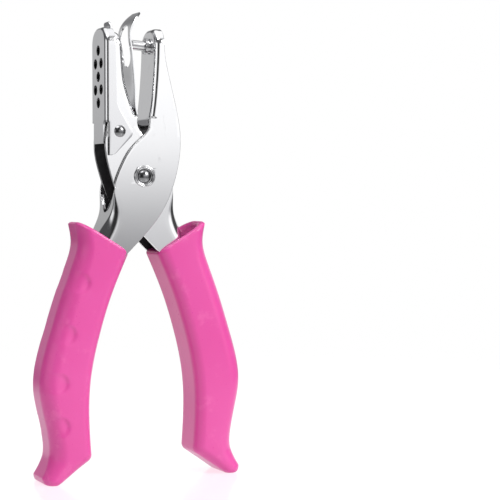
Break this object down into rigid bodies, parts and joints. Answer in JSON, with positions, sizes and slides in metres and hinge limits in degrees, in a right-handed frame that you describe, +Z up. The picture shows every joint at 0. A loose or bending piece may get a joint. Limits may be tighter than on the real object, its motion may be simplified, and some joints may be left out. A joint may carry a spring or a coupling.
{
  "type": "single-hole paper punch pliers",
  "caption": "Hand-held craft punch: crossed folded-steel arms with a stepped round punch pin, slotted paper guide, vented hinged chip cover and curved soft grips.",
  "frame": {"origin": "midway between the toes of the two grips, on the surface that they stand on, in the tool's middle plane", "axes": "+X from the die jaw and finger grip towards the punch jaw and palm grip, +Y back along the pivot, +Z up from the grips' toes to the jaws"},
  "size_m": [0.0644, 0.016, 0.1419],
  "materials": {
    "arm_steel": "bright nickel plating over pressed steel",
    "cover_steel": "bright nickel plating on thin sheet",
    "pin_steel": "turned and ground tool steel",
    "rivet_steel": "bright plated rivets",
    "spring_steel": "rolled spring steel",
    "grip_vinyl": "soft glossy pink vinyl"
  },
  "bodies": {
    "die_side": {"die_arm": "arm_steel", "die_button": "pin_steel", "paper_guide": "spring_steel", "leaf_rivet": "rivet_steel", "cover_hinge_pin": "rivet_steel", "palm_grip": "grip_vinyl"},
    "punch_side": {"punch_arm": "arm_steel", "punch_pin": "pin_steel", "pin_collar": "pin_steel", "pivot_bush_front": "rivet_steel", "pivot_bush_rear": "rivet_steel", "pivot_pin": "rivet_steel", "spring_sleeve": "rivet_steel", "return_spring": "spring_steel", "finger_grip": "grip_vinyl"},
    "chip_lid": {"chip_cover": "cover_steel"}
  },
  "joints": [
    {"name": "squeeze", "type": "hinge", "parent": "die_side", "child": "punch_side", "pos_m": [0, 0, 0.0921], "axis": [0, -1, 0], "range_deg": [0, 8], "stiffness_Nm_per_rad": 1.5, "springref_deg": -14.32, "deforming": ["return_spring"]},
    {"name": "cover_swing", "type": "hinge", "parent": "die_side", "child": "chip_lid", "pos_m": [-0.0078, 0, 0.1056], "axis": [0, -1, 0], "range_deg": [0, 25]}
  ]
}
